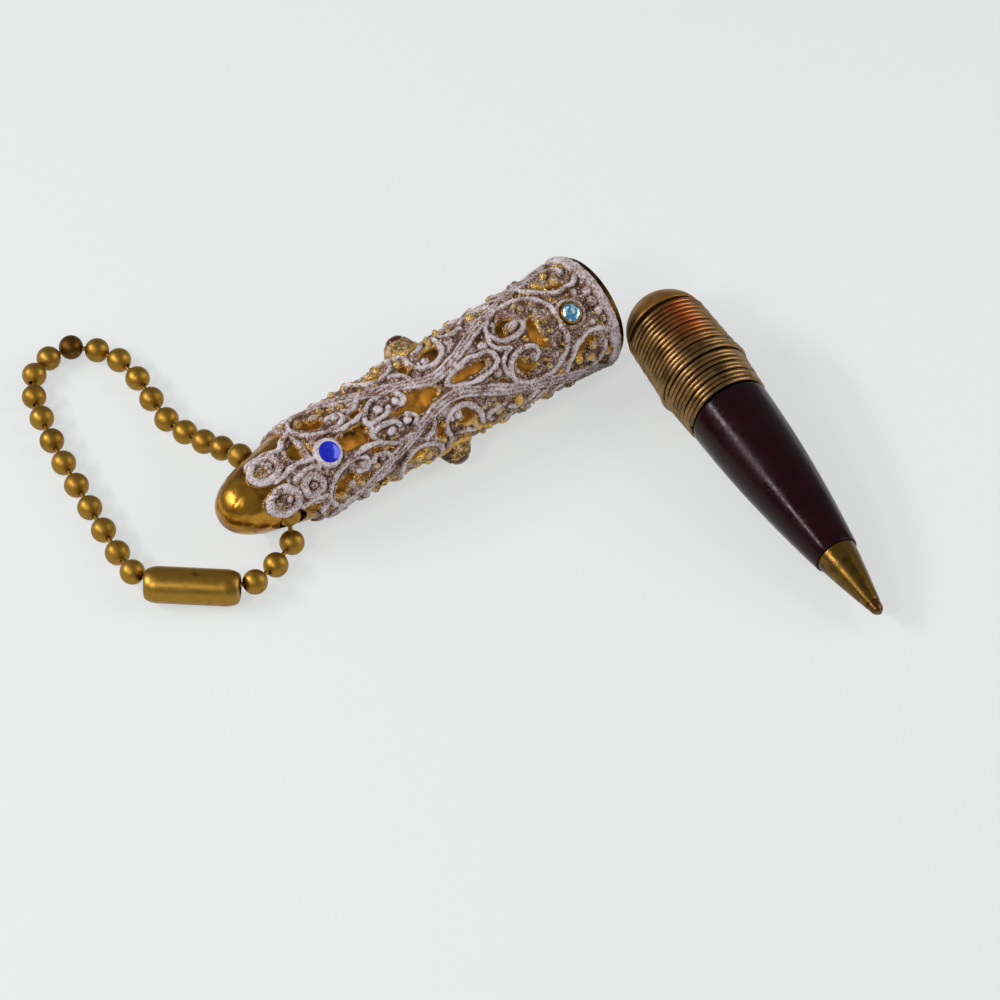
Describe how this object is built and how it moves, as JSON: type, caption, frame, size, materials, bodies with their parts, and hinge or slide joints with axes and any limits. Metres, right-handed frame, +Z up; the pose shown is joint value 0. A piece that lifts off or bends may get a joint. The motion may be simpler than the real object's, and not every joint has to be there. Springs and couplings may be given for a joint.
{
  "type": "capsule pocket pen",
  "caption": "Short ballpoint pen with a friction coil, carried in a jewelled filigree capsule with a beaded chain through its dome; the pen lies beside the open capsule.",
  "frame": {"origin": "on the table, under the middle of the bounding box of the laid-out set", "axes": "+Z up; +X from the capsule's dome to its mouth, along the table; +Y away from the viewer's side, and the long extent of the set"},
  "size_m": [0.0838, 0.104, 0.0157],
  "materials": {
    "polished_brass": "polished, lacquered",
    "white_wash": "worn matt wash over gilt",
    "gilt": "gilt",
    "blue_glass": "foil-backed glass",
    "aqua_glass": "faceted, clear",
    "garnet_glass": "smooth, dark",
    "aged_brass": "aged, satin",
    "bronze_wire": "bright drawn wire",
    "maroon_plastic": "gloss",
    "ink_plastic": "extruded",
    "steel": "ground",
    "chain_brass": "antiqued, satin"
  },
  "bodies": {
    "capsule": {"capsule_shell": "polished_brass", "filigree_rim_band": "white_wash", "filigree_sleeve": "white_wash", "filigree_shoulder_collar": "white_wash", "blue_collet_front": "white_wash", "blue_stone_front": "blue_glass", "blue_collet_back": "white_wash", "blue_stone_back": "blue_glass", "aqua_collet_front": "gilt", "aqua_stone_front": "aqua_glass", "aqua_collet_back": "gilt", "aqua_stone_back": "aqua_glass", "garnet_collet_front": "gilt", "garnet_stone_front": "garnet_glass", "garnet_collet_back": "gilt", "garnet_stone_back": "garnet_glass"},
    "pen": {"pen_barrel": "maroon_plastic", "pen_end_cap": "aged_brass", "pen_grip_coil": "bronze_wire"},
    "refill": {"pen_refill_tube": "ink_plastic", "pen_refill_tip": "aged_brass"},
    "nose": {"pen_nose_cone": "aged_brass"},
    "ball": {"pen_writing_ball": "steel"},
    "chain": {"chain_bead_01": "chain_brass", "chain_bead_02": "chain_brass", "chain_bead_03": "chain_brass", "chain_bead_04": "chain_brass", "chain_bead_05": "chain_brass", "chain_bead_06": "chain_brass", "chain_bead_07": "chain_brass", "chain_bead_08": "chain_brass", "chain_bead_09": "chain_brass", "chain_bead_10": "chain_brass", "chain_bead_11": "chain_brass", "chain_bead_12": "chain_brass", "chain_bead_13": "chain_brass", "chain_bead_14": "chain_brass", "chain_bead_15": "chain_brass", "chain_bead_16": "chain_brass", "chain_bead_17": "chain_brass", "chain_bead_18": "chain_brass", "chain_bead_19": "chain_brass", "chain_bead_20": "chain_brass", "chain_bead_21": "chain_brass", "chain_bead_22": "chain_brass", "chain_bead_23": "chain_brass", "chain_bead_24": "chain_brass", "chain_bead_25": "chain_brass", "chain_bead_26": "chain_brass", "chain_bead_27": "chain_brass", "chain_bead_28": "chain_brass", "chain_bead_29": "chain_brass"},
    "coupling": {"chain_coupling": "chain_brass"}
  },
  "joints": [
    {"name": "pen_lift", "type": "slide", "parent": "capsule", "child": "pen", "axis": [0, 0, 1], "range_m": [0, 0.04]},
    {"name": "refill_draw", "type": "slide", "parent": "pen", "child": "refill", "axis": [-0.1748, -0.9811, -0.0828], "range_m": [0, 0.004]},
    {"name": "cone_turn", "type": "hinge", "parent": "refill", "child": "nose", "pos_m": [0.02717, -0.05196, 0.00274], "axis": [-0.1748, -0.9811, -0.0828], "range_deg": [0, 2880]},
    {"name": "ball_roll", "type": "hinge", "parent": "refill", "child": "ball", "pos_m": [0.02725, -0.05149, 0.00278], "axis": [-0.9845, 0.1754, 0], "continuous": true},
    {"name": "chain_swing", "type": "hinge", "parent": "capsule", "child": "chain", "pos_m": [-0.02104, 0.00892, 0.00661], "axis": [-0.0059, 0.9659, 0.2587], "range_deg": [0, 90]},
    {"name": "coupling_spin", "type": "hinge", "parent": "chain", "child": "coupling", "pos_m": [-0.03601, 0.00502, 0.00233], "axis": [0.7396, -0.673, 0], "continuous": true}
  ],
  "couplings": [
    {"joint": "cone_turn", "follows": "refill_draw", "rad_per_m": 12566}
  ]
}
